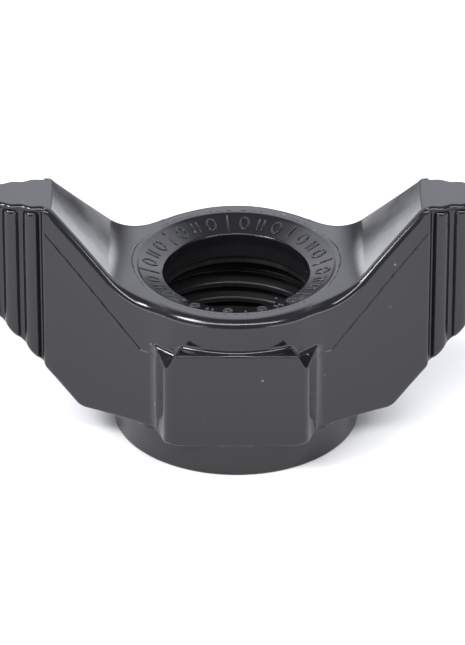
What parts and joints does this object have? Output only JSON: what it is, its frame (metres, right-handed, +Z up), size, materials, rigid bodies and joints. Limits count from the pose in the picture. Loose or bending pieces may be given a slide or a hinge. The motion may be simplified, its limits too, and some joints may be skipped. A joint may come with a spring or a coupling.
{
  "type": "wing nut",
  "caption": "Winged retaining nut with ribbed finger grips, a wrench hexagon, a round skirt, an internal thread and a lip with a clearance hole over a loose seal ring.",
  "frame": {"origin": "centre of the skirt's open end, on the thread's axis", "axes": "+Z up the thread's axis through the hole in the lip, X along the wings, -Y towards the front hexagon flat"},
  "size_m": [0.052, 0.0222, 0.0225],
  "materials": {
    "black_nylon": "glossy moulded black nylon with faint flow marks and a mould parting line",
    "black_rubber": "matte black rubber"
  },
  "bodies": {
    "nut": {"nut_body": "black_nylon"},
    "seal": {"seal_ring": "black_rubber"}
  },
  "joints": [
    {"name": "seal_slide", "type": "slide", "parent": "nut", "child": "seal", "axis": [0, 0, -1], "range_m": [0, 0.014]}
  ]
}
